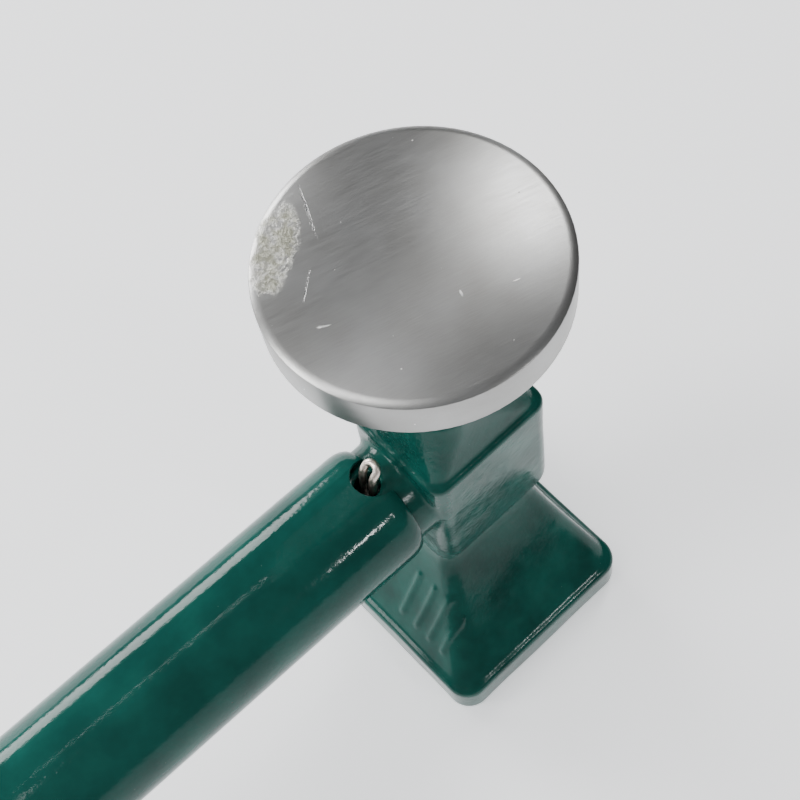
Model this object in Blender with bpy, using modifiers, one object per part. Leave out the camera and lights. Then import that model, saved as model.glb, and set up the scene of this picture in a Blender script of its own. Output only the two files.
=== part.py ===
"""Snap setting press: a cast head on a flared square foot, a struck plunger with a broad steel disc,
a return spring, two setting dies in a throat, and a tube handle pinned to a cast tenon.

Sizes are in millimetres and are multiplied by MM, because the scene is in metres.
+Z is up, the plunger's axis is Z, the handle runs towards -X, and the throat opens towards +X and +Y.
The origin is the point of the foot's underside that lies on the plunger's axis.
"""

import math

import bmesh
import bpy
from mathutils import Matrix

MM = 0.001

# driving dimensions
HEIGHT = 125.0              # underside of the foot to the face of the disc
DISC_RADIUS = 25.0
DISC_THICKNESS = 9.1
DISC_CHAMFER = (1.55, 0.66)  # across the face, down the rim
TRAVEL = 10.5               # plunger stroke
GAP = 0.3                   # clearance between any two pieces

# casting
FOOT_CENTRE_X = -1.6
FOOT_HALF = (23.5, 27.9)
FOOT_PLATE = 9.6            # height of the foot's upright sides
FOOT_CORNER = 5.0
FOOT_EDGE = 1.4             # round of the plate's upper edge
FOOT_SOLE = (0.7, 0.8)      # chamfer of its lower edge: inwards, upwards
FOOT_SWEEP = 1.3            # 1 is a straight slope, and more hollows the foot's sides
NECK_Z = 32.0
NECK_CENTRE_X = 1.6
NECK_HALF = (12.6, 9.9)
HEAD_CENTRE_X = 2.2
HEAD_HALF = (14.2, 12.2)
HEAD_TOP = 71.75
HEAD_EDGE_Z = 39.5          # underside of the head at its two side edges
HEAD_BELLY = 5.5            # how far the underside bows below those edges
HEAD_ROUND = 2.6
HEAD_CORNER = 3.2
HEAD_TOP_ROUND = 1.0
JOIN = 4.0                  # how deep the neck and the boss reach into the head
BOSS_TOP = 84.0
BOSS_RADIUS = 9.3
BOSS_SWEEP = 1.7
BOSS_INSET = 1.0            # the head's top that shows round the boss
NECK_CORNER = 3.0
RING_POINTS = 48            # points round each section of the casting

# throat and sockets
THROAT = ((-7.0, 40.0), (-6.5, 40.0), (14.5, 37.0))
BORE_RADIUS = 8.0
BORE_FLOOR = 39.7
LIP_RADIUS = 6.6
LOWER_SOCKET_RADIUS = 4.0
LOWER_SOCKET_FLOOR = 5.5
GRUB_Z = 10.0
GRUB_HOLE = 2.3

# plunger
ROD_RADIUS = 6.0
ROD_BOTTOM = 36.0
STUD_RADIUS = 5.0
STUD_Z = (110.3, 122.0)
NUT_HEIGHT = 5.0
NUT_ACROSS = 17.0
REBOUND_WASHER_Z = (68.4, 69.6)
STOP_RING_Z = (66.8, 68.1)
STOP_GROOVE_RADIUS = 5.1
KEY_Z = 50.0
KEY_HOLE = 2.8
KEYWAY_HALF = 2.1
KEYWAY_FLOOR = 4.3
UPPER_SOCKET_RADIUS = 3.3
UPPER_SOCKET_TOP = 47.0

# bushes and spring
UPPER_BUSH_Z = (70.0, 84.3)
FLANGE_TOP = 86.3
LOWER_BUSH_Z = (40.0, 56.0)
WASHER_THICKNESS = 1.4
WASHER_RADIUS = 9.5
SPRING_MEAN_RADIUS = 8.1
SPRING_WIRE = 0.8
SPRING_TURNS = 5.0

# dies
DIE_RADIUS = 5.5
LOWER_DIE_TOP = 20.0
UPPER_SHANK_RADIUS = UPPER_SOCKET_RADIUS - GAP
O_RING_GROOVE = (41.2, 42.6)
O_RING = (2.65, 0.36)       # radius of the ring's middle, radius of its cord
DISH_RADIUS = 4.7
DISH_DEPTH = 1.5
UPPER_DIE_BOTTOM = LOWER_DIE_TOP + TRAVEL + 0.6

# handle
HANDLE_ROOT = (-12.0, -0.4, 59.7)
HANDLE_RISE = 1.8           # degrees above the horizontal
TUBE_RADIUS = 12.25
TUBE_WALL = 1.5
TUBE_START = 3.9
TUBE_END = 146.0
TUBE_LIP = (1.5, 3.4)       # how the end by the head is rolled in: inwards, along
TUBE_END_ROUND = 0.6
PLUG_STEM = 18.0
PLUG_RIM = 2.0
PLUG_DOME = 3.6
TENON_RADIUS = TUBE_RADIUS - TUBE_WALL - GAP
TENON_END = 32.0
NOTCH_END = 9.4
NOTCH_HALF = 4.3
PIN_AT = 6.8                # along the handle from its root
PIN_WIRE = 0.85
PIN_HALF = 1.35             # the pin's axis to the middle of either shank
PIN_HOLE = PIN_HALF + PIN_WIRE + GAP
PIN_ABOVE = TENON_RADIUS + 2.0   # where the shanks start to lean towards the head
PIN_LEAN = 48               # degrees that the leaning eye rises above the handle's axis
PIN_REACH = 2.3             # length of the leaning shanks, up to the eye's bend
PIN_BELOW = TUBE_RADIUS + 0.2
PIN_BEND = 1.35             # radius that the two ends are bent to, under the tube
PIN_TURNS = (115, 130)      # degrees that they are bent through


def material(name, colour, roughness, metallic):
    made = bpy.data.materials.new(name)
    made.use_nodes = True
    shader = made.node_tree.nodes["Principled BSDF"]
    shader.inputs["Base Color"].default_value = (*colour, 1.0)
    shader.inputs["Roughness"].default_value = roughness
    shader.inputs["Metallic"].default_value = metallic
    return made


def collection(name):
    made = bpy.data.collections.new(name)
    bpy.context.scene.collection.children.link(made)
    return made


def add_object(name, mesh, paint, folder):
    obj = bpy.data.objects.new(name, mesh)
    obj.data.materials.append(paint)
    folder.objects.link(obj)
    return obj


def place(obj, parent=None, location=(0, 0, 0), rotation=(0, 0, 0)):
    obj.parent = parent
    obj.location = [c * MM for c in location]
    obj.rotation_euler = [math.radians(a) for a in rotation]
    return obj


def mesh_of(points, faces=(), edges=()):
    mesh = bpy.data.meshes.new("shape")
    mesh.from_pydata([[c * MM for c in p] for p in points], edges, faces)
    mesh.update()
    return mesh


def turned(name, profile, paint, folder, segments=40, closed=False):
    """A shape turned about Z. The profile is (radius, z) points, down the outer side."""
    count = len(profile)
    edges = [(i, i + 1) for i in range(count - 1)]
    if closed:
        edges.append((count - 1, 0))
    mesh = mesh_of([(r, 0, z) for r, z in profile], edges=edges)
    obj = add_object(name, mesh, paint, folder)
    screw = obj.modifiers.new("Turn", "SCREW")
    screw.axis = "Z"
    screw.steps = segments
    screw.render_steps = segments
    screw.use_merge_vertices = True
    screw.merge_threshold = 0.00001
    screw.use_smooth_shade = True
    return obj


def ring(name, inner, outer, bottom, top, paint, folder, segments=40):
    """A plain sleeve or washer."""
    profile = [(inner, top), (outer, top), (outer, bottom), (inner, bottom)]
    return turned(name, profile, paint, folder, segments, closed=True)


def prism(name, sides, across, bottom, top, paint, folder):
    """A bar with flat sides, measured across its flats."""
    mesh = bpy.data.meshes.new(name)
    bm = bmesh.new()
    radius = across / 2 / math.cos(math.pi / sides) * MM
    bmesh.ops.create_cone(
        bm, cap_ends=True, segments=sides, radius1=radius, radius2=radius, depth=(top - bottom) * MM
    )
    bmesh.ops.translate(bm, verts=bm.verts, vec=(0, 0, (top + bottom) / 2 * MM))
    bm.to_mesh(mesh)
    bm.free()
    return add_object(name, mesh, paint, folder)


def block(name, ranges, paint, folder):
    mesh = bpy.data.meshes.new(name)
    bm = bmesh.new()
    bmesh.ops.create_cube(bm, size=1.0)
    size = [(high - low) * MM for low, high in ranges]
    middle = [(high + low) / 2 * MM for low, high in ranges]
    bmesh.ops.transform(bm, matrix=Matrix.Diagonal((*size, 1.0)), verts=bm.verts)
    bmesh.ops.translate(bm, verts=bm.verts, vec=middle)
    bm.to_mesh(mesh)
    bm.free()
    return add_object(name, mesh, paint, folder)


def boolean(target, tool, operation):
    """Cuts the tool out of the target, or joins it to the target."""
    step = target.modifiers.new(tool.name, "BOOLEAN")
    step.operation = operation
    step.solver = "EXACT"
    step.object = tool
    tool.hide_render = True
    tool.display_type = "WIRE"


def cut(target, tool):
    boolean(target, tool, "DIFFERENCE")


def rounded_section(centre_x, half_x, half_y, corner, z, count=RING_POINTS):
    """Points round a rectangle with round corners, counter-clockwise from above."""
    corner = min(corner, half_x, half_y)
    points = []
    for quarter in range(4):
        sign_x = (1, -1, -1, 1)[quarter]
        sign_y = (1, 1, -1, -1)[quarter]
        steps = count // 4
        for i in range(steps):
            angle = math.radians(90 * quarter + 90 * i / (steps - 1))
            x = centre_x + sign_x * (half_x - corner) + corner * math.cos(angle)
            y = sign_y * (half_y - corner) + corner * math.sin(angle)
            points.append((x, y, z))
    return points


def loft(name, sections, paint, folder):
    """A closed skin through sections that have the same number of points."""
    count = len(sections[0])
    points = [p for section in sections for p in section]
    faces = []
    for level in range(len(sections) - 1):
        low, high = level * count, (level + 1) * count
        for i in range(count):
            j = (i + 1) % count
            faces.append((low + i, low + j, high + j, high + i))
    faces.append(tuple(reversed(range(count))))
    last = (len(sections) - 1) * count
    faces.append(tuple(range(last, last + count)))
    return add_object(name, mesh_of(points, faces), paint, folder)


def blend(low, high, share):
    return low + (high - low) * share


def foot_and_neck(paint, folder):
    """The foot's plate, and the hollow sweep of its four sides up to the neck."""
    half_x, half_y = FOOT_HALF
    sole_in, sole_up = FOOT_SOLE
    sections = [
        rounded_section(FOOT_CENTRE_X, half_x - sole_in, half_y - sole_in, FOOT_CORNER, 0.0),
        rounded_section(FOOT_CENTRE_X, half_x, half_y, FOOT_CORNER, sole_up),
    ]
    round_steps = 4
    for step in range(round_steps + 1):
        angle = math.radians(90 * step / round_steps)
        inset = FOOT_EDGE * (1 - math.cos(angle))
        z = FOOT_PLATE - FOOT_EDGE * (1 - math.sin(angle))
        sections.append(rounded_section(FOOT_CENTRE_X, half_x - inset, half_y - inset, FOOT_CORNER, z))
    sweep_steps = 12
    for step in range(1, sweep_steps + 1):
        share = step / sweep_steps
        z = blend(FOOT_PLATE, NECK_Z, share)
        narrow = 1 - (1 - share) ** FOOT_SWEEP
        sections.append(
            rounded_section(
                blend(FOOT_CENTRE_X, NECK_CENTRE_X, narrow),
                blend(half_x - FOOT_EDGE, NECK_HALF[0], narrow),
                blend(half_y - FOOT_EDGE, NECK_HALF[1], narrow),
                blend(FOOT_CORNER, NECK_CORNER, narrow),
                z,
            )
        )
    sections.append(rounded_section(NECK_CENTRE_X, *NECK_HALF, NECK_CORNER, HEAD_EDGE_Z + JOIN))
    return loft("body_casting", sections, paint, folder)


def head_underside(x):
    """The height of the head's underside, which bows down between the head's two ends."""
    share = (x - HEAD_CENTRE_X + HEAD_HALF[0]) / (2 * HEAD_HALF[0])
    return HEAD_EDGE_Z - HEAD_BELLY * math.sin(math.pi * min(max(share, 0.0), 1.0)) ** 0.8


def head_block(paint, folder):
    """The head: flat sides, rounded edges, and an underside that bows down."""
    steps = 4
    half_x, half_y = HEAD_HALF
    sections = []
    for step in range(steps + 1):
        angle = math.radians(90 * step / steps)
        inset = HEAD_ROUND * (1 - math.sin(angle))
        rise = HEAD_ROUND * (1 - math.cos(angle))
        section = rounded_section(HEAD_CENTRE_X, half_x - inset, half_y - inset, HEAD_CORNER, 0)
        sections.append([(x, y, head_underside(x) + rise) for x, y, _ in section])
    for step in range(steps + 1):
        angle = math.radians(90 * step / steps)
        inset = HEAD_TOP_ROUND * (1 - math.cos(angle))
        z = HEAD_TOP - HEAD_TOP_ROUND * (1 - math.sin(angle))
        sections.append(rounded_section(HEAD_CENTRE_X, half_x - inset, half_y - inset, HEAD_CORNER, z))
    return loft("head_block", sections, paint, folder)


def boss_on_head(paint, folder):
    """The guide boss: four hollow sides that sweep up from the head and end in a round top."""
    half_x, half_y = HEAD_HALF[0] - BOSS_INSET, HEAD_HALF[1] - BOSS_INSET
    corner = HEAD_CORNER - BOSS_INSET
    sections = [rounded_section(HEAD_CENTRE_X, half_x - 1, half_y - 1, corner - 1, HEAD_TOP - JOIN)]
    steps = 10
    foot_z = HEAD_TOP - 0.3
    for step in range(steps + 1):
        share = step / steps
        narrow = 1 - (1 - share) ** BOSS_SWEEP
        sections.append(
            rounded_section(
                blend(HEAD_CENTRE_X, 0.0, narrow),
                blend(half_x, BOSS_RADIUS, narrow),
                blend(half_y, BOSS_RADIUS, narrow),
                blend(corner, BOSS_RADIUS, share),
                blend(foot_z, BOSS_TOP, share),
            )
        )
    return loft("guide_boss", sections, paint, folder)


def handle_frame(folder):
    """An empty whose +Z runs out along the handle and whose +X is the handle's upper side."""
    empty = bpy.data.objects.new("handle_axis", None)
    folder.objects.link(empty)
    return place(empty, location=HANDLE_ROOT, rotation=(0, HANDLE_RISE - 90, 0))


def lay_along_y(obj, z):
    """Turns a piece that was made along +Z so that it lies along +Y at the height z."""
    return place(obj, location=(0, 0, z), rotation=(-90, 0, 0))


def hole_along_y(name, radius, start, end, z, paint, cutters):
    return lay_along_y(prism(name, 24, 2 * radius, start, end, paint, cutters), z)


def make_casting(paint, parts, cutters, handle_axis):
    casting = foot_and_neck(paint, parts)
    boolean(casting, head_block(paint, cutters), "UNION")
    boolean(casting, boss_on_head(paint, cutters), "UNION")
    tenon_profile = [(0, TENON_END), (TENON_RADIUS - 1.5, TENON_END), (TENON_RADIUS, TENON_END - 1.5),
                     (TENON_RADIUS, -3.0), (0, -3.0)]
    tenon = place(turned("tenon", tenon_profile, paint, cutters), handle_axis)
    boolean(casting, tenon, "UNION")

    cut(casting, block("throat", THROAT, paint, cutters))
    bore_profile = [(0, 95.0), (BORE_RADIUS, 95.0), (BORE_RADIUS, BORE_FLOOR), (LIP_RADIUS, BORE_FLOOR),
                    (LIP_RADIUS, THROAT[2][1] - 6), (0, THROAT[2][1] - 6)]
    cut(casting, turned("plunger_bore", bore_profile, paint, cutters))
    socket_profile = [(0, 30.0), (LOWER_SOCKET_RADIUS, 30.0), (LOWER_SOCKET_RADIUS, LOWER_SOCKET_FLOOR),
                      (0, LOWER_SOCKET_FLOOR)]
    cut(casting, turned("lower_die_socket", socket_profile, paint, cutters, 32))

    cut(casting, hole_along_y("key_hole", KEY_HOLE, 5.0, 30.0, KEY_Z, paint, cutters))
    cut(casting, hole_along_y("die_screw_hole", GRUB_HOLE, 3.0, 40.0, GRUB_Z, paint, cutters))

    pin_hole = prism("tenon_pin_hole", 20, 2 * PIN_HOLE, -20.0, 20.0, paint, cutters)
    cut(casting, place(pin_hole, handle_axis, (0, 0, PIN_AT), (0, 90, 0)))


def make_bushes(paint, parts, cutters):
    inner, outer = ROD_RADIUS + GAP, BORE_RADIUS - GAP
    low, high = UPPER_BUSH_Z
    upper_profile = [(inner, FLANGE_TOP), (BOSS_RADIUS - 0.2, FLANGE_TOP), (BOSS_RADIUS - 0.2, high),
                     (outer, high), (outer, low), (inner, low)]
    turned("upper_guide_bush", upper_profile, paint, parts, closed=True)
    lower = ring("lower_guide_bush", inner, outer, *LOWER_BUSH_Z, paint, parts)
    cut(lower, hole_along_y("bush_key_hole", KEY_HOLE, 3.0, 12.0, KEY_Z, paint, cutters))


def make_plunger(steel, brushed, plated, rubber, parts, cutters, slide):
    """The rod and everything that travels with it. Returns the height of the spring's upper seat."""
    low, high = STOP_RING_Z
    bottom = HEIGHT - DISC_THICKNESS
    hole = STUD_RADIUS + GAP
    rod_profile = [
        (0, STUD_Z[1]), (STUD_RADIUS - 0.8, STUD_Z[1]), (STUD_RADIUS, STUD_Z[1] - 0.8),
        (STUD_RADIUS, STUD_Z[0]), (ROD_RADIUS, STUD_Z[0]), (ROD_RADIUS, high + GAP),
        (STOP_GROOVE_RADIUS, high + GAP), (STOP_GROOVE_RADIUS, low - GAP), (ROD_RADIUS, low - GAP),
        (ROD_RADIUS, ROD_BOTTOM + 0.5), (ROD_RADIUS - 0.5, ROD_BOTTOM),
        (UPPER_SOCKET_RADIUS, ROD_BOTTOM), (UPPER_SOCKET_RADIUS, UPPER_SOCKET_TOP),
        (0, UPPER_SOCKET_TOP + 1.5),
    ]
    rod = place(turned("plunger_rod", rod_profile, steel, parts), slide)
    keyway = ((-KEYWAY_HALF, KEYWAY_HALF), (KEYWAY_FLOOR, 9.0), (KEY_Z - 2.5, KEY_Z + TRAVEL + 2.5))
    cut(rod, place(block("keyway", keyway, steel, cutters), slide))

    across, down = DISC_CHAMFER
    disc_profile = [
        (0, HEIGHT), (DISC_RADIUS - across, HEIGHT), (DISC_RADIUS, HEIGHT - down),
        (DISC_RADIUS, bottom + 0.8), (DISC_RADIUS - 0.8, bottom), (hole, bottom),
        (hole, STUD_Z[1] + GAP), (0, STUD_Z[1] + GAP),
    ]
    place(turned("strike_disc", disc_profile, brushed, parts, segments=80), slide)

    nut_top = bottom - GAP
    nut = place(prism("disc_lock_nut", 6, NUT_ACROSS, nut_top - NUT_HEIGHT, nut_top, plated, parts), slide)
    thread = prism("lock_nut_bore", 32, 2 * hole, nut_top - 10, nut_top + 5, plated, cutters)
    cut(nut, place(thread, slide))
    washer_top = nut_top - NUT_HEIGHT - GAP
    washer = ring("upper_spring_washer", ROD_RADIUS + GAP, WASHER_RADIUS,
                  washer_top - WASHER_THICKNESS, washer_top, plated, parts)
    place(washer, slide)
    rebound = ring("rebound_washer", ROD_RADIUS + GAP, 7.5, *REBOUND_WASHER_Z, rubber, parts)
    place(rebound, slide)
    stop = ring("stop_ring", STOP_GROOVE_RADIUS + GAP, 7.4, low, high, plated, parts)
    gap_cut = block("stop_ring_gap", ((0.0, 9.0), (-1.3, 1.3), (low - 1, high + 1)), plated, cutters)
    place(stop, slide)
    cut(stop, place(gap_cut, slide))
    return washer_top - WASHER_THICKNESS


def make_spring(paint, parts, bottom, top):
    """A compression spring with closed ends: the pitch grows smoothly from and back to the wire's size."""
    low, high = bottom + GAP + SPRING_WIRE, top - GAP - SPRING_WIRE
    per_turn = 18
    count = int(SPRING_TURNS * per_turn) + 1
    closed = 2.15 * SPRING_WIRE
    free = (high - low - 2 * closed) / (SPRING_TURNS - 2)
    curve = bpy.data.curves.new("return_spring", "CURVE")
    curve.dimensions = "3D"
    curve.bevel_depth = SPRING_WIRE * MM
    curve.bevel_resolution = 2
    curve.use_fill_caps = True
    spline = curve.splines.new("POLY")
    spline.points.add(count - 1)
    for i, point in enumerate(spline.points):
        turn = i / per_turn
        first = min(turn, 1.0)
        middle = min(max(turn - 1.0, 0.0), SPRING_TURNS - 2)
        last = max(turn - SPRING_TURNS + 1, 0.0)
        z = low + closed * (first + last) + free * middle
        angle = 2 * math.pi * turn
        x = SPRING_MEAN_RADIUS * math.cos(angle)
        y = SPRING_MEAN_RADIUS * math.sin(angle)
        point.co = (x * MM, y * MM, z * MM, 1)
    obj = bpy.data.objects.new("return_spring", curve)
    obj.data.materials.append(paint)
    parts.objects.link(obj)


def make_dies(paint, rubber, parts, slide):
    floor = THROAT[2][0]
    shank = LOWER_SOCKET_RADIUS - GAP
    top = LOWER_DIE_TOP
    bottom = LOWER_SOCKET_FLOOR + 0.4
    lower_profile = [
        (0, top - 0.2), (1.5, top - 0.2), (1.7, top - 1.6), (3.4, top - 1.6), (4.2, top),
        (DIE_RADIUS - 0.5, top), (DIE_RADIUS, top - 0.5), (DIE_RADIUS, floor + GAP), (shank, floor + GAP),
        (shank, bottom + 0.6), (shank - 0.6, bottom), (0, bottom),
    ]
    turned("lower_die", lower_profile, paint, parts, 40)

    face = UPPER_DIE_BOTTOM
    head_top = ROD_BOTTOM - GAP
    groove_low, groove_high = O_RING_GROOVE
    shank = UPPER_SHANK_RADIUS
    neck = shank - 1.0
    turns = [math.radians(15 * step) for step in range(6)]
    dish = [(DISH_RADIUS * math.cos(a), face + DISH_DEPTH * math.sin(a)) for a in turns]
    upper_profile = [
        (0, UPPER_SOCKET_TOP - 1.0), (shank - 0.6, UPPER_SOCKET_TOP - 1.0), (shank, UPPER_SOCKET_TOP - 1.6),
        (shank, groove_high), (neck, groove_high), (neck, groove_low), (shank, groove_low),
        (shank, head_top), (DIE_RADIUS, head_top), (DIE_RADIUS, face + 0.5), (DIE_RADIUS - 0.3, face),
        *dish, (0, face + DISH_DEPTH),
    ]
    place(turned("upper_die", upper_profile, paint, parts, 40), slide)

    middle = (groove_low + groove_high) / 2
    ring_radius, cord_radius = O_RING
    turns = [-2 * math.pi * i / 8 for i in range(8)]
    section = [(ring_radius + cord_radius * math.cos(a), middle + cord_radius * math.sin(a)) for a in turns]
    place(turned("upper_die_o_ring", section, rubber, parts, 24, closed=True), slide)


def make_screws(plated, parts, cutters):
    """The dog-point screw that stops the plunger turning, its lock nut, and the lower die's grub screw."""
    tip, shoulder, end = KEYWAY_FLOOR + 0.4, 7.2, 17.0
    key_profile = [(0, end), (2.0, end), (2.5, end - 0.5), (2.5, shoulder), (1.7, shoulder - 0.8),
                   (1.7, tip), (0, tip)]
    key = lay_along_y(turned("guide_key_screw", key_profile, plated, parts, 24), KEY_Z)
    slot = block("key_screw_slot", ((-3.0, 3.0), (-0.4, 0.4), (end - 1.2, end + 1.0)), plated, cutters)
    cut(key, lay_along_y(slot, KEY_Z))

    face = HEAD_HALF[1] + GAP
    nut = lay_along_y(prism("key_lock_nut", 6, 8.0, face, face + 3.0, plated, parts), KEY_Z)
    cut(nut, hole_along_y("key_nut_bore", KEY_HOLE, face - 2, face + 6, KEY_Z, plated, cutters))

    grub_end = 13.0
    grub_profile = [(0, grub_end), (1.6, grub_end), (2.0, grub_end - 0.4), (2.0, 5.0), (1.2, 4.0), (0, 4.0)]
    grub = lay_along_y(turned("die_grub_screw", grub_profile, plated, parts, 24), GRUB_Z)
    socket = prism("grub_socket", 6, 2.0, grub_end - 2.0, grub_end + 1.0, plated, cutters)
    cut(grub, lay_along_y(socket, GRUB_Z))


def make_handle(paint, plastic, plated, parts, cutters, handle_axis):
    inner = TUBE_RADIUS - TUBE_WALL
    lip_out, lip_along = TUBE_LIP
    start_round = []
    end_round = []
    for step in range(5):
        angle = math.radians(90 * step / 4)
        radius = TUBE_RADIUS - lip_out * (1 - math.sin(angle))
        along = lip_along * (1 - math.cos(angle))
        start_round.append((radius, TUBE_START + along))
    for step in range(3):
        angle = math.radians(90 * step / 2)
        radius = TUBE_RADIUS - TUBE_END_ROUND * (1 - math.cos(angle))
        end_round.append((radius, TUBE_END - TUBE_END_ROUND * (1 - math.sin(angle))))
    profile = [(inner, TUBE_END), *reversed(end_round), *reversed(start_round), (inner, TUBE_START)]
    tube = place(turned("handle_tube", profile, paint, parts, 56, closed=True), handle_axis)
    notch = block("tube_notch", ((6.0, 20.0), (-NOTCH_HALF, NOTCH_HALF), (-2.0, NOTCH_END - NOTCH_HALF)),
                  paint, cutters)
    cut(tube, place(notch, handle_axis))
    notch_end = prism("tube_notch_end", 24, 2 * NOTCH_HALF, 6.0, 20.0, paint, cutters)
    cut(tube, place(notch_end, handle_axis, (0, 0, NOTCH_END - NOTCH_HALF - 0.05), (0, 90, 0)))
    lower_hole = prism("tube_pin_hole", 20, 2 * PIN_HOLE, -20.0, -6.0, paint, cutters)
    cut(tube, place(lower_hole, handle_axis, (0, 0, PIN_AT), (0, 90, 0)))

    stem = inner - GAP
    seat = TUBE_END + GAP
    rim = seat + PLUG_RIM
    turns = [math.radians(a) for a in range(75, -1, -15)]
    dome = [(TUBE_RADIUS * math.cos(a), rim + PLUG_DOME * math.sin(a)) for a in turns]
    inside = TUBE_END - PLUG_STEM
    plug_profile = [(0, rim + PLUG_DOME), *dome, (TUBE_RADIUS, seat), (stem, seat),
                    (stem, inside + 1.0), (stem - 1.0, inside), (0, inside)]
    place(turned("handle_end_plug", plug_profile, plastic, parts, 48), handle_axis)
    make_split_pin(plated, parts, handle_axis)


def bent_leg(side, turn):
    """Points from a leg's bend under the tube to its tip: (up, sideways, along the handle)."""
    points = []
    for step in range(7):
        angle = math.radians(turn * step / 6)
        sideways = side * (PIN_HALF + PIN_BEND * (1 - math.cos(angle)))
        points.append((-PIN_BELOW - PIN_BEND * math.sin(angle), sideways, PIN_AT))
    return points


def pin_eye():
    """Points over the pin's closed end, which leans towards the head: (up, sideways, along the handle)."""
    rise, back = math.sin(math.radians(PIN_LEAN)), math.cos(math.radians(PIN_LEAN))
    points = [(PIN_ABOVE, -PIN_HALF, PIN_AT)]
    for step in range(9):
        angle = math.radians(180 * step / 8)
        reach = PIN_REACH + PIN_HALF * math.sin(angle)
        points.append((PIN_ABOVE + reach * rise, -PIN_HALF * math.cos(angle), PIN_AT - reach * back))
    points.append((PIN_ABOVE, PIN_HALF, PIN_AT))
    return points


def make_split_pin(paint, parts, handle_axis):
    """A wire folded in two: an eye above the tube, two shanks down through it, and two ends bent apart."""
    first, last = PIN_TURNS
    points = [*reversed(bent_leg(-1, first)), *pin_eye(), *bent_leg(1, last)]
    curve = bpy.data.curves.new("split_pin", "CURVE")
    curve.dimensions = "3D"
    curve.bevel_depth = PIN_WIRE * MM
    curve.bevel_resolution = 2
    curve.use_fill_caps = True
    spline = curve.splines.new("POLY")
    spline.points.add(len(points) - 1)
    for point, position in zip(spline.points, points):
        point.co = (*[c * MM for c in position], 1)
    obj = bpy.data.objects.new("split_pin", curve)
    obj.data.materials.append(paint)
    parts.objects.link(obj)
    place(obj, handle_axis)


def main():
    for obj in list(bpy.data.objects):
        bpy.data.objects.remove(obj)
    parts = collection("snap_setting_press")
    cutters = collection("cutters")

    green = material("green_paint", (0.012, 0.12, 0.10), 0.28, 0.0)
    brushed = material("brushed_steel", (0.55, 0.54, 0.52), 0.38, 1.0)
    steel = material("ground_steel", (0.60, 0.60, 0.60), 0.25, 1.0)
    plated = material("plated_steel", (0.62, 0.60, 0.56), 0.30, 1.0)
    spring_steel = material("spring_steel", (0.45, 0.46, 0.48), 0.32, 1.0)
    bronze = material("bronze", (0.58, 0.36, 0.16), 0.40, 1.0)
    hard_steel = material("die_steel", (0.50, 0.49, 0.47), 0.22, 1.0)
    plastic = material("black_plastic", (0.02, 0.02, 0.02), 0.50, 0.0)
    rubber = material("rubber", (0.03, 0.03, 0.03), 0.70, 0.0)

    handle_axis = handle_frame(parts)
    slide = bpy.data.objects.new("plunger_slide", None)
    parts.objects.link(slide)

    make_casting(green, parts, cutters, handle_axis)
    make_bushes(bronze, parts, cutters)
    under_washer = make_plunger(steel, brushed, plated, rubber, parts, cutters, slide)
    lower_washer_bottom = FLANGE_TOP + GAP
    lower_washer_top = lower_washer_bottom + WASHER_THICKNESS
    ring("lower_spring_washer", ROD_RADIUS + GAP, WASHER_RADIUS,
         lower_washer_bottom, lower_washer_top, plated, parts)
    make_spring(spring_steel, parts, lower_washer_top, under_washer)
    make_dies(hard_steel, rubber, parts, slide)
    make_screws(plated, parts, cutters)
    make_handle(green, plastic, plated, parts, cutters, handle_axis)


main()
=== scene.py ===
"""Looks for the snap setting press: finer skins over the CAD nodes, materials, floor, light and camera."""

import math

import bmesh
import bpy
from mathutils import Matrix, Vector, noise


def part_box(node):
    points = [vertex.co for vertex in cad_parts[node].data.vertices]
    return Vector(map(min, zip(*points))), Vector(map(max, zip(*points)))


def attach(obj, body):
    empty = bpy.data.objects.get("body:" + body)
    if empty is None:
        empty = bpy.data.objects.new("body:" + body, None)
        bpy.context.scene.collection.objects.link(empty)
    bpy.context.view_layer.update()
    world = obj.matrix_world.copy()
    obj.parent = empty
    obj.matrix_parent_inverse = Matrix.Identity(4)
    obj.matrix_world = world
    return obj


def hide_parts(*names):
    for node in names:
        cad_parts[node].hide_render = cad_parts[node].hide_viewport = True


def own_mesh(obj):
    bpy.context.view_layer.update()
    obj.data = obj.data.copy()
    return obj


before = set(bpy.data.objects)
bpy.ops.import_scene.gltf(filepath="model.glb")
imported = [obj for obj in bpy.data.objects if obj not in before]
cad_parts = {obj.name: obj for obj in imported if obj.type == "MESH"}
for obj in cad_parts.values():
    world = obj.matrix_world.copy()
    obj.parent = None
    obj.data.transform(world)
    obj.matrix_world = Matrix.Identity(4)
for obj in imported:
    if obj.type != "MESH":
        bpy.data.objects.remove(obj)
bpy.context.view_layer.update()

MM = 0.001

# the camera's place, in disc radii, and its angles, in degrees
VIEW_HEADING = 31.2
VIEW_PITCH = 62.86
VIEW_ROLL = -12.74
VIEW_DISTANCE = 8.79
VIEW_OFFSET = (0.069, 0.85)
VIEW_LENS = 65.97           # millimetres, on a sensor 36 mm wide

DISC_LOW, DISC_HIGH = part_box("strike_disc")
DISC_RADIUS = (DISC_HIGH.x - DISC_LOW.x) / 2
DISC_FACE = Vector(((DISC_LOW.x + DISC_HIGH.x) / 2, (DISC_LOW.y + DISC_HIGH.y) / 2, DISC_HIGH.z))
GRAIN_ANGLE = -16.0         # the way the disc's face was ground

# marks on the disc's face, in disc radii: place, half length, half width and angle
NICKS = (
    ((0.04, -0.39), 0.028, 0.009, 70),
    ((-0.68, 0.03), 0.05, 0.007, -32),
    ((0.33, -0.56), 0.03, 0.006, -20),
)
SCRATCHES = (
    ((-0.215, 0.715), 0.235, 0.010, 65),
    ((-0.57, 0.315), 0.145, 0.006, 40),
)
SMEAR = ((-0.53, 0.65), 0.145, 0.37, 129.0)

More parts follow.
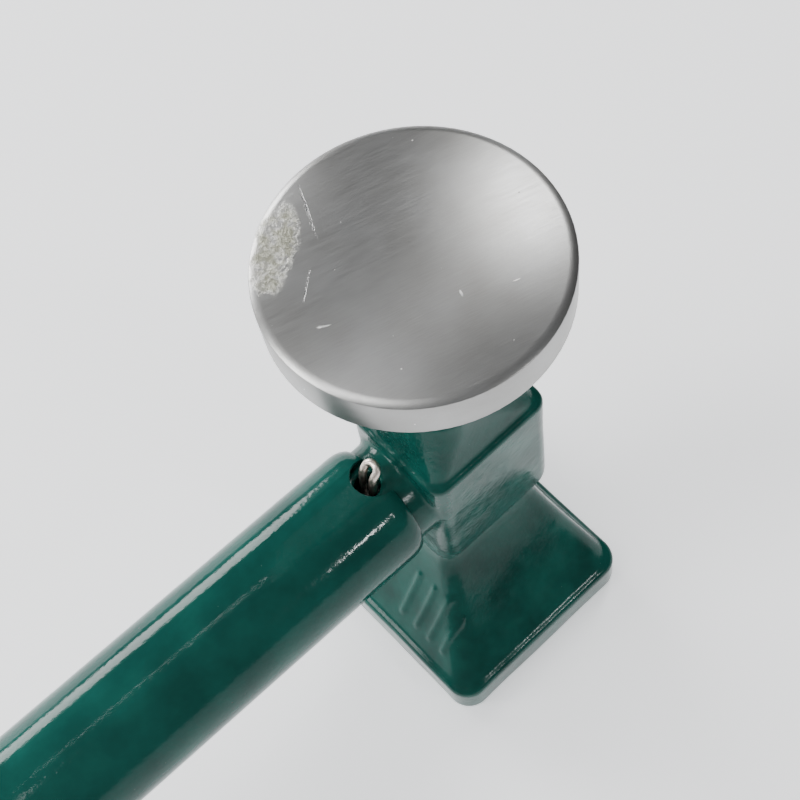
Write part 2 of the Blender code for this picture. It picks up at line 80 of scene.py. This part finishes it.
# the room's own light: its bright side, told from the camera's heading, and its strength opposite and there
BRIGHT_SIDE = (-0.8, -0.55, 0.25)
ROOM_LIGHT = (0.07, 0.50)
ROOM_FADE = (-0.8, 1.0)     # how squarely a direction faces the bright side, at those two strengths
FLOOR_GLOW = 0.75
FLOOR_HALF = 3.0            # metres

# skins copied from the CAD: points this near are one (mm), and faces this flat are one (degrees)
WELD = 0.004
FLAT = 0.4
CORNER = 32                 # only corners that turn by more than this are rounded (degrees)

# the casting's surface, in millimetres
CASTING_VOXEL = 0.42
SOFTEN_STEPS = 6
CASTING_LUMPS = ((11.0, 0.14), (3.2, 0.018), (1.1, 0.004))
BORE_CLEAR = 8.6            # inside this radius the casting is machined
MACHINED_FROM_Z = 38.5
SOCKET_CLEAR = 4.6          # the same for the lower die's socket
SOCKET_FROM_Z = 3.0
SOLE_Z = 0.4                # below this the foot is flat
ROUGH_DEPTH = 0.42
ROUGH_PLACES = (((-9.0, 0.0, 77.0), (7.0, 13.0, 9.0)),)   # centre and reach
RIB_PLACES = (-4.5, -9.0, -13.0, -17.0)
RIB_Z = (13.6, 23.0)
RIB_FADE = 1.6              # length of each rib's ends
RIB_FACING = -0.3           # only where the surface faces the handle by at least this
RIB_HALF_WIDTH = 0.75
RIB_HEIGHT = 0.42


def turned_to_view(vector):
    """From the camera's heading (x right, y away, z up) to the frame's axes."""
    return Matrix.Rotation(math.radians(-VIEW_HEADING), 3, "Z") @ Vector(vector)


def make_camera():
    pitch, roll = math.radians(VIEW_PITCH), math.radians(VIEW_ROLL)
    forward = turned_to_view((0, math.cos(pitch), -math.sin(pitch)))
    level = turned_to_view((1, 0, 0))
    upright = level.cross(forward)
    right = math.cos(roll) * level + math.sin(roll) * upright
    up = math.cos(roll) * upright - math.sin(roll) * level
    across, down = VIEW_OFFSET
    place = DISC_FACE - (forward * VIEW_DISTANCE + right * across + up * down) * DISC_RADIUS
    data = bpy.data.cameras.new("camera")
    data.lens = VIEW_LENS
    data.sensor_width = 36.0
    data.clip_start = 0.01
    camera = bpy.data.objects.new("camera", data)
    bpy.context.scene.collection.objects.link(camera)
    rotation = Matrix((right, up, -forward)).transposed()
    camera.matrix_world = Matrix.Translation(place) @ rotation.to_4x4()
    bpy.context.scene.camera = camera


class Paint:
    """One node material. Lengths are in millimetres, and places are read from object space."""

    def __init__(self, name, colour, roughness, metallic=0.0, **sockets):
        self.material = bpy.data.materials.new(name)
        self.material.use_nodes = True
        tree = self.material.node_tree
        self.nodes, self.links = tree.nodes, tree.links
        self.shader = self.nodes["Principled BSDF"]
        self.shader.inputs["Base Color"].default_value = (*colour, 1.0)
        self.shader.inputs["Roughness"].default_value = roughness
        self.shader.inputs["Metallic"].default_value = metallic
        for socket, value in sockets.items():
            self.shader.inputs[socket.replace("_", " ")].default_value = value
        self.place = self.nodes.new("ShaderNodeTexCoord").outputs["Object"]

    def set(self, node, socket, value):
        if isinstance(value, bpy.types.NodeSocket):
            self.links.new(value, node.inputs[socket])
        else:
            node.inputs[socket].default_value = value

    def within(self, centre=(0, 0, 0), size=(1, 1, 1), angle=0.0, wobble=None):
        """Places measured from a centre, turned about Z, in units of size."""
        source = self.place
        if wobble:
            source = self.wobbled(*wobble)
        mapping = self.nodes.new("ShaderNodeMapping")
        mapping.vector_type = "TEXTURE"
        self.set(mapping, "Vector", source)
        self.set(mapping, "Location", [c * MM for c in centre])
        self.set(mapping, "Rotation", (0, 0, math.radians(angle)))
        self.set(mapping, "Scale", [c * MM for c in size])
        return mapping.outputs["Vector"]

    def wobbled(self, grain, reach):
        """Places shifted by a noise, so that an edge drawn with them is ragged."""
        shift = self.nodes.new("ShaderNodeTexNoise")
        self.set(shift, "Vector", self.within(size=(grain,) * 3))
        self.set(shift, "Scale", 1.0)
        middle = self.vector("SUBTRACT", shift.outputs["Color"], (0.5, 0.5, 0.5))
        return self.vector("ADD", self.place, self.vector("SCALE", middle, scale=2 * reach * MM))

    def vector(self, operation, first, second=None, scale=None):
        node = self.nodes.new("ShaderNodeVectorMath")
        node.operation = operation
        self.set(node, 0, first)
        if second is not None:
            self.set(node, 1, second)
        if scale is not None:
            self.set(node, "Scale", scale)
        return node.outputs["Value" if operation == "LENGTH" else "Vector"]

    def noise(self, size, detail=3.0, stretch=(1, 1, 1), angle=0.0, rough=0.5):
        node = self.nodes.new("ShaderNodeTexNoise")
        self.set(node, "Vector", self.within(size=[size * s for s in stretch], angle=angle))
        self.set(node, "Scale", 1.0)
        self.set(node, "Detail", detail)
        self.set(node, "Roughness", rough)
        return node.outputs["Fac"]

    def specks(self, spacing, radius, share, stretch=(1, 1, 1), angle=0.0):
        """Scattered dots: 1 on a dot and 0 off it. Only a share of the cells holds one."""
        node = self.nodes.new("ShaderNodeTexVoronoi")
        self.set(node, "Vector", self.within(size=[spacing * s for s in stretch], angle=angle))
        self.set(node, "Scale", 1.0)
        dot = self.scaled(node.outputs["Distance"], radius / spacing, 0.6 * radius / spacing, 0.0, 1.0)
        parts = self.nodes.new("ShaderNodeSeparateColor")
        self.set(parts, "Color", node.outputs["Color"])
        chosen = self.scaled(parts.outputs["Red"], share, share - 0.01, 0.0, 1.0)
        return self.maths("MULTIPLY", dot, chosen)

    def blob(self, centre, half_long, half_wide, angle, wobble=None, edge=0.6):
        """1 inside an ellipse that lies flat, falling to 0 at its edge."""
        size = (half_long, half_wide, 1000.0)
        reach = self.vector("LENGTH", self.within(centre, size, angle, wobble))
        return self.scaled(reach, 1.0, edge, 0.0, 1.0)

    def maths(self, operation, first, second):
        node = self.nodes.new("ShaderNodeMath")
        node.operation = operation
        self.set(node, 0, first)
        self.set(node, 1, second)
        return node.outputs["Value"]

    def scaled(self, value, from_low, from_high, to_low, to_high):
        node = self.nodes.new("ShaderNodeMapRange")
        for socket, amount in zip(range(5), (value, from_low, from_high, to_low, to_high)):
            self.set(node, socket, amount)
        return node.outputs["Result"]

    def mixed(self, share, first, second):
        """A colour between two colours."""
        node = self.nodes.new("ShaderNodeMix")
        node.data_type = "RGBA"
        self.set(node, 0, share)
        for socket, colour in ((6, first), (7, second)):
            self.set(node, socket, colour if isinstance(colour, bpy.types.NodeSocket) else (*colour, 1.0))
        return node.outputs[2]

    def colour(self, value):
        self.set(self.shader, "Base Color", value)
        return self

    def roughness(self, value):
        self.set(self.shader, "Roughness", value)
        return self

    def bump(self, height, depth):
        """Adds relief of that depth on top of the relief there already."""
        node = self.nodes.new("ShaderNodeBump")
        self.set(node, "Height", height)
        self.set(node, "Distance", depth * MM)
        before = self.shader.inputs["Normal"].links
        if before:
            self.links.new(before[0].from_socket, node.inputs["Normal"])
        self.links.new(node.outputs["Normal"], self.shader.inputs["Normal"])
        return self


def enamel(name, deep, pale, lump, peel, relief, gloss, rough_places=()):
    """Thick glossy enamel: pooled colour, orange peel, pin-holes, a little dust and a few rough places."""
    paint = Paint(name, deep, 0.2, IOR=1.28)
    pooled = paint.scaled(paint.noise(9.0, 3.0), 0.35, 0.7, 0.0, 1.0)
    base = paint.mixed(pooled, deep, pale)
    pin_holes = paint.specks(3.1, 0.16, 0.22)
    dust = paint.specks(1.7, 0.07, 0.12)
    base = paint.mixed(paint.maths("MULTIPLY", pin_holes, 0.7), base, (0.002, 0.012, 0.010))
    paint.colour(paint.mixed(paint.maths("MULTIPLY", dust, 0.5), base, (0.30, 0.42, 0.38)))
    paint.roughness(paint.scaled(paint.noise(2.4, 4.0), 0.3, 0.75, *gloss))
    paint.bump(paint.noise(lump, 2.0), relief)
    paint.bump(paint.noise(peel, 2.0), 0.028)
    paint.bump(pin_holes, -0.08)
    for centre, size in rough_places:
        inside = paint.scaled(paint.vector("LENGTH", paint.within(centre, size)), 1.0, 0.45, 0.0, 1.0)
        paint.bump(paint.maths("MULTIPLY", inside, paint.noise(1.5, 3.0)), ROUGH_DEPTH)
    return paint.material


def face_mark(paint, mark, *ragged):
    """Where a mark lies on the disc's face: 1 on it and 0 off it."""
    (x, y), half_long, half_wide, angle = mark
    radius = DISC_RADIUS / MM
    return paint.blob((x * radius, y * radius, 0), half_long * radius, half_wide * radius, angle, *ragged)


def brushed_disc():
    """The struck face: straight grinding marks, nicks, specks, scratches and a dried smear by the rim."""
    paint = Paint("brushed_disc", (0.33, 0.325, 0.315), 0.36, 1.0)
    fine = paint.noise(0.11, 2.0, (26, 1, 1), GRAIN_ANGLE, 0.6)
    broad = paint.noise(0.3, 3.0, (16, 1, 1), GRAIN_ANGLE, 0.55)
    cloud = paint.scaled(paint.noise(11.0, 2.0), 0.3, 0.7, 0.0, 1.0)
    base = paint.mixed(cloud, (0.29, 0.286, 0.275), (0.36, 0.36, 0.356))
    base = paint.mixed(paint.scaled(fine, 0.35, 0.7, 0.0, 0.22), base, (0.47, 0.468, 0.46))
    bright = paint.maths("MAXIMUM", paint.specks(3.6, 0.16, 0.3), paint.specks(1.6, 0.07, 0.25))
    for nick in NICKS:
        bright = paint.maths("MAXIMUM", bright, face_mark(paint, nick, (0.5, 0.12)))
    dark = paint.specks(4.7, 0.12, 0.3)
    for scratch in SCRATCHES:
        line = face_mark(paint, scratch, (0.9, 0.15))
        broken = paint.scaled(paint.noise(0.5, 2.0), 0.42, 0.55, 0.0, 1.0)
        dark = paint.maths("MAXIMUM", dark, paint.maths("MULTIPLY", line, broken))
    base = paint.mixed(paint.maths("MULTIPLY", bright, 0.9), base, (0.95, 0.94, 0.92))
    base = paint.mixed(paint.maths("MULTIPLY", dark, 0.75), base, (0.12, 0.12, 0.12))
    smear = face_mark(paint, SMEAR, (2.6, 1.1), 0.70)
    crust = paint.scaled(paint.noise(0.9, 5.0, rough=0.7), 0.45, 0.62, 0.0, 1.0)
    patches = paint.scaled(paint.noise(2.6, 4.0, rough=0.65), 0.38, 0.56, 0.12, 1.0)
    smear = paint.maths("MULTIPLY", smear, patches)
    stain = paint.mixed(crust, (0.18, 0.18, 0.115), (0.46, 0.46, 0.37))
    base = paint.mixed(paint.maths("MULTIPLY", smear, 0.7), base, stain)
    paint.colour(base)
    worn = paint.scaled(broad, 0.3, 0.7, 0.31, 0.36)
    paint.roughness(paint.maths("ADD", worn, paint.maths("MULTIPLY", smear, 0.2)))
    paint.bump(fine, 0.006)
    paint.bump(broad, 0.006)
    paint.bump(bright, 0.03)
    paint.bump(dark, -0.04)
    paint.bump(paint.maths("MULTIPLY", smear, crust), 0.12)
    return paint.material


def bright_metal(name, low, high, roughness, turning=None, spots=0.15):
    """Bare or plated metal with cloudy colour, handling marks and, if given, marks of turning."""
    paint = Paint(name, low, roughness[0], 1.0)
    clouds = paint.scaled(paint.noise(2.6, 4.0), 0.3, 0.7, 0.0, 1.0)
    base = paint.mixed(clouds, low, high)
    marks = paint.specks(1.3, 0.10, spots)
    paint.colour(paint.mixed(paint.maths("MULTIPLY", marks, 0.6), base, [0.35 * c for c in low]))
    paint.roughness(paint.scaled(paint.noise(1.1, 3.0), 0.3, 0.7, *roughness))
    if turning:
        paint.bump(paint.noise(0.16, 2.0, turning), 0.010)
    paint.bump(paint.noise(0.5, 3.0), 0.012)
    paint.bump(marks, -0.02)
    return paint.material


def bronze():
    paint = Paint("bearing_bronze", (0.42, 0.27, 0.12), 0.42, 1.0)
    pores = paint.specks(0.55, 0.07, 0.5)
    tarnish = paint.scaled(paint.noise(3.0, 4.0), 0.35, 0.7, 0.0, 1.0)
    base = paint.mixed(tarnish, (0.50, 0.33, 0.15), (0.34, 0.22, 0.11))
    paint.colour(paint.mixed(pores, base, (0.08, 0.05, 0.03)))
    paint.roughness(paint.scaled(tarnish, 0.0, 1.0, 0.34, 0.55))
    paint.bump(paint.noise(0.12, 2.0, (20, 20, 1)), 0.010)
    return paint.bump(pores, -0.03).material


def soft_black(name, colour, roughness, grain):
    """Moulded plastic or rubber: fine pebble, faint bloom and scuffs."""
    paint = Paint(name, colour, roughness)
    bloom = paint.scaled(paint.noise(5.0, 4.0), 0.4, 0.75, 0.0, 0.5)
    scuffs = paint.scaled(paint.noise(0.35, 3.0, (14, 1, 3), 28), 0.66, 0.74, 0.0, 0.5)
    base = paint.mixed(bloom, colour, [2.4 * c + 0.012 for c in colour])
    paint.colour(paint.mixed(scuffs, base, (0.13, 0.13, 0.125)))
    paint.roughness(paint.scaled(paint.noise(1.5, 3.0), 0.3, 0.7, roughness - 0.08, roughness + 0.12))
    return paint.bump(paint.noise(grain, 2.0), 0.03).bump(scuffs, 0.015).material


def copy_of(node):
    """A new object with a welded copy of a CAD node's mesh, its flat areas made whole again."""
    shape = bmesh.new()
    shape.from_mesh(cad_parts[node].data)
    bmesh.ops.remove_doubles(shape, verts=shape.verts, dist=WELD * MM)
    bmesh.ops.dissolve_limit(shape, angle_limit=math.radians(FLAT), verts=shape.verts, edges=shape.edges)
    mesh = bpy.data.meshes.new(node + "_skin")
    shape.to_mesh(mesh)
    shape.free()
    skin = bpy.data.objects.new(node + "_skin", mesh)
    bpy.context.scene.collection.objects.link(skin)
    return skin


def apply_modifiers(skin, smooth_angle=38.0):
    bpy.context.view_layer.update()
    evaluated = skin.evaluated_get(bpy.context.evaluated_depsgraph_get())
    mesh = bpy.data.meshes.new_from_object(evaluated)
    skin.modifiers.clear()
    skin.data = mesh
    mesh.shade_smooth()
    mesh.set_sharp_from_angle(angle=math.radians(smooth_angle))


def round_edges(skin, width, segments=2):
    bevel = skin.modifiers.new("Edges", "BEVEL")
    bevel.width = width * MM
    bevel.segments = segments
    bevel.limit_method = "ANGLE"
    bevel.angle_limit = math.radians(CORNER)
    bevel.miter_outer = "MITER_ARC"


def subdivide(skin, levels):
    step = skin.modifiers.new("Smooth", "SUBSURF")
    step.levels = levels
    step.render_levels = levels


def put_on(skin, node, body, material):
    """The skin stands for its CAD node, rides with its body and wears the material."""
    skin.data.materials.clear()
    skin.data.materials.append(material)
    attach(skin, body)
    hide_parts(node)


def window(value, low, high, soft):
    """1 between low and high, falling to 0 over the soft distance on either side."""
    rise = min(max((value - low) / soft + 1, 0.0), 1.0)
    fall = min(max((high - value) / soft + 1, 0.0), 1.0)
    return rise * rise * (3 - 2 * rise) * fall * fall * (3 - 2 * fall)


def rib_height(place, normal):
    """Plain raised ribs down the foot's sweep on the handle's side."""
    if normal.x > RIB_FACING:
        return 0.0
    x, y, z = place / MM
    along = window(z, *RIB_Z, RIB_FADE)
    across = max(math.exp(-((y - rib) / RIB_HALF_WIDTH) ** 2) for rib in RIB_PLACES)
    return RIB_HEIGHT * along * across


def roughcast(place, normal):
    """How far the casting's painted skin stands out from the plain shape, in millimetres."""
    total = rib_height(place, normal)
    for size, depth in CASTING_LUMPS:
        total += depth * noise.noise(place / (size * MM))
    return total


def machined(place):
    """True in the bored and drilled places and at the sole, which keep their shape."""
    from_axis = math.hypot(place.x, place.y) / MM
    in_bore = from_axis < BORE_CLEAR and place.z / MM > MACHINED_FROM_Z
    in_socket = from_axis < SOCKET_CLEAR and place.z / MM > SOCKET_FROM_Z
    return in_bore or in_socket or place.z / MM < SOLE_Z


def casting_skin(material):
    """The body as cast and painted: softened edges, a lumpy skin and the raised ribs."""
    skin = copy_of("body_casting")
    remesh = skin.modifiers.new("Even", "REMESH")
    remesh.mode = "VOXEL"
    remesh.voxel_size = CASTING_VOXEL * MM
    soften = skin.modifiers.new("Soften", "SMOOTH")
    soften.factor = 0.5
    soften.iterations = SOFTEN_STEPS
    apply_modifiers(skin, 180.0)
    moved = []
    for vertex in skin.data.vertices:
        place, normal = vertex.co.copy(), vertex.normal.copy()
        if not machined(place):
            place += normal * roughcast(place, normal) * MM
        place.z = max(place.z, 0.0)
        moved.append(place)
    for vertex, place in zip(skin.data.vertices, moved):
        vertex.co = place
    skin.data.update()
    put_on(skin, "body_casting", "body", material)


def make_pieces():
    green = enamel(
        "casting_enamel", (0.0024, 0.044, 0.035), (0.005, 0.080, 0.063),
        lump=3.4, peel=0.8, relief=0.04, gloss=(0.10, 0.24), rough_places=ROUGH_PLACES
    )
    tube_green = enamel(
        "tube_enamel", (0.0030, 0.052, 0.042), (0.005, 0.078, 0.062),
        lump=6.0, peel=0.9, relief=0.03, gloss=(0.06, 0.15)
    )
    ground = bright_metal("ground_bar", (0.50, 0.50, 0.50), (0.64, 0.64, 0.63), (0.16, 0.30), (25, 25, 1))
    plated = bright_metal("zinc_plate", (0.54, 0.54, 0.53), (0.70, 0.70, 0.67), (0.20, 0.36))
    wire = bright_metal("pin_wire", (0.55, 0.46, 0.39), (0.74, 0.68, 0.62), (0.25, 0.42), spots=0.35)
    spring = bright_metal("spring_wire", (0.34, 0.35, 0.37), (0.48, 0.49, 0.51), (0.22, 0.38))
    die = bright_metal("die_steel", (0.40, 0.39, 0.38), (0.56, 0.55, 0.53), (0.16, 0.32), (25, 25, 1))
    plastic = soft_black("moulded_plastic", (0.018, 0.018, 0.019), 0.46, 0.5)
    rubber = soft_black("nitrile_rubber", (0.022, 0.021, 0.020), 0.66, 0.3)

    casting_skin(green)
    pieces = [
        ("handle_tube", "body", "tube_enamel", tube_green, 0.35, 0),
        ("handle_end_plug", "body", "black_plastic", plastic, 0.30, 0),
        ("split_pin", "body", "split_pin_wire", wire, 0, 2),
        ("upper_guide_bush", "body", "bronze", bronze(), 0.20, 0),
        ("lower_guide_bush", "body", "bronze", bronze(), 0.20, 0),
        ("lower_spring_washer", "body", "plated_steel", plated, 0.16, 0),
        ("return_spring", "body", "spring_steel", spring, 0, 1),
        ("lower_die", "body", "die_steel", die, 0.12, 0),
        ("die_grub_screw", "body", "plated_steel", plated, 0.08, 0),
        ("guide_key_screw", "body", "plated_steel", plated, 0.08, 0),
        ("key_lock_nut", "body", "plated_steel", plated, 0.25, 0),
        ("plunger_rod", "plunger", "ground_steel", ground, 0.12, 0),
        ("strike_disc", "plunger", "brushed_disc", brushed_disc(), 0.14, 0),
        ("disc_lock_nut", "plunger", "plated_steel", plated, 0.35, 0),
        ("upper_spring_washer", "plunger", "plated_steel", plated, 0.16, 0),
        ("stop_ring", "plunger", "spring_steel", spring, 0.12, 0),
        ("rebound_washer", "plunger", "rubber", rubber, 0.16, 0),
        ("upper_die", "plunger", "die_steel", die, 0.10, 0),
        ("upper_die_o_ring", "plunger", "rubber", rubber, 0, 1),
    ]
    for node, body, slot, material, edge, levels in pieces:
        skin = copy_of(node)
        if edge:
            round_edges(skin, edge)
        if levels:
            subdivide(skin, levels)
        apply_modifiers(skin)
        put_on(skin, node, body, material)
        if node == "return_spring":
            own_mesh(skin)


def make_floor():
    mesh = bpy.data.meshes.new("floor")
    shape = bmesh.new()
    bmesh.ops.create_grid(shape, x_segments=2, y_segments=2, size=FLOOR_HALF)
    shape.to_mesh(mesh)
    shape.free()
    floor = bpy.data.objects.new("floor", mesh)
    bpy.context.scene.collection.objects.link(floor)
    paint = Paint("floor_card", (0.86, 0.865, 0.875), 0.75, Emission_Strength=FLOOR_GLOW)
    paint.shader.inputs["Emission Color"].default_value = (0.97, 0.98, 1.0, 1.0)
    paint.colour(paint.mixed(paint.noise(90.0, 3.0), (0.85, 0.855, 0.868), (0.88, 0.883, 0.888)))
    floor.data.materials.append(paint.material)


def area_light(name, direction, distance, size, power, along_handle=False):
    """A soft light that faces the head. Its direction is told from the camera's heading."""
    data = bpy.data.lights.new(name, "AREA")
    data.shape = "RECTANGLE"
    data.size, data.size_y = size
    data.energy = power
    light = bpy.data.objects.new(name, data)
    bpy.context.scene.collection.objects.link(light)
    aim = turned_to_view(direction).normalized()
    long_side = Vector((1, 0, 0)) if along_handle else turned_to_view((1, 0, 0))
    across = (long_side - aim * long_side.dot(aim)).normalized()
    rotation = Matrix((across, aim.cross(across), aim)).transposed()
    centre = Vector((0, 0, DISC_FACE.z / 2))
    light.matrix_world = Matrix.Translation(centre + aim * distance) @ rotation.to_4x4()


def make_light():
    area_light("handle_strip", (0.073, 0.335, 0.94), 1.2, (1.0, 0.010), 0.8, along_handle=True)
    area_light("right_box", (0.42, 0.66, 0.74), 1.2, (0.3, 0.4), 5.0)
    area_light("far_window", (-0.75, 1.0, 0.35), 1.6, (1.0, 0.5), 26.0)
    area_light("left_box", (-0.82, -0.06, 0.56), 1.1, (0.6, 0.4), 9.0)
    area_light("chamfer_box", (-0.38, -0.16, 0.91), 1.2, (0.5, 0.3), 3.5)
    area_light("near_window", (0.62, -0.57, 0.55), 0.9, (0.05, 0.06), 0.9)
    world = bpy.data.worlds.new("room")
    bpy.context.scene.world = world
    world.use_nodes = True
    nodes, links = world.node_tree.nodes, world.node_tree.links
    around = nodes.new("ShaderNodeTexCoord").outputs["Generated"]
    towards = nodes.new("ShaderNodeVectorMath")
    towards.operation = "DOT_PRODUCT"
    towards.inputs[1].default_value = turned_to_view(BRIGHT_SIDE).normalized()
    links.new(around, towards.inputs[0])
    shade = nodes.new("ShaderNodeMapRange")
    for socket, amount in zip(range(1, 5), (*ROOM_FADE, *ROOM_LIGHT)):
        shade.inputs[socket].default_value = amount
    links.new(towards.outputs["Value"], shade.inputs[0])
    background = nodes["Background"]
    background.inputs["Color"].default_value = (0.95, 0.97, 1.0, 1.0)
    links.new(shade.outputs["Result"], background.inputs["Strength"])


make_camera()
make_floor()
make_light()
make_pieces()
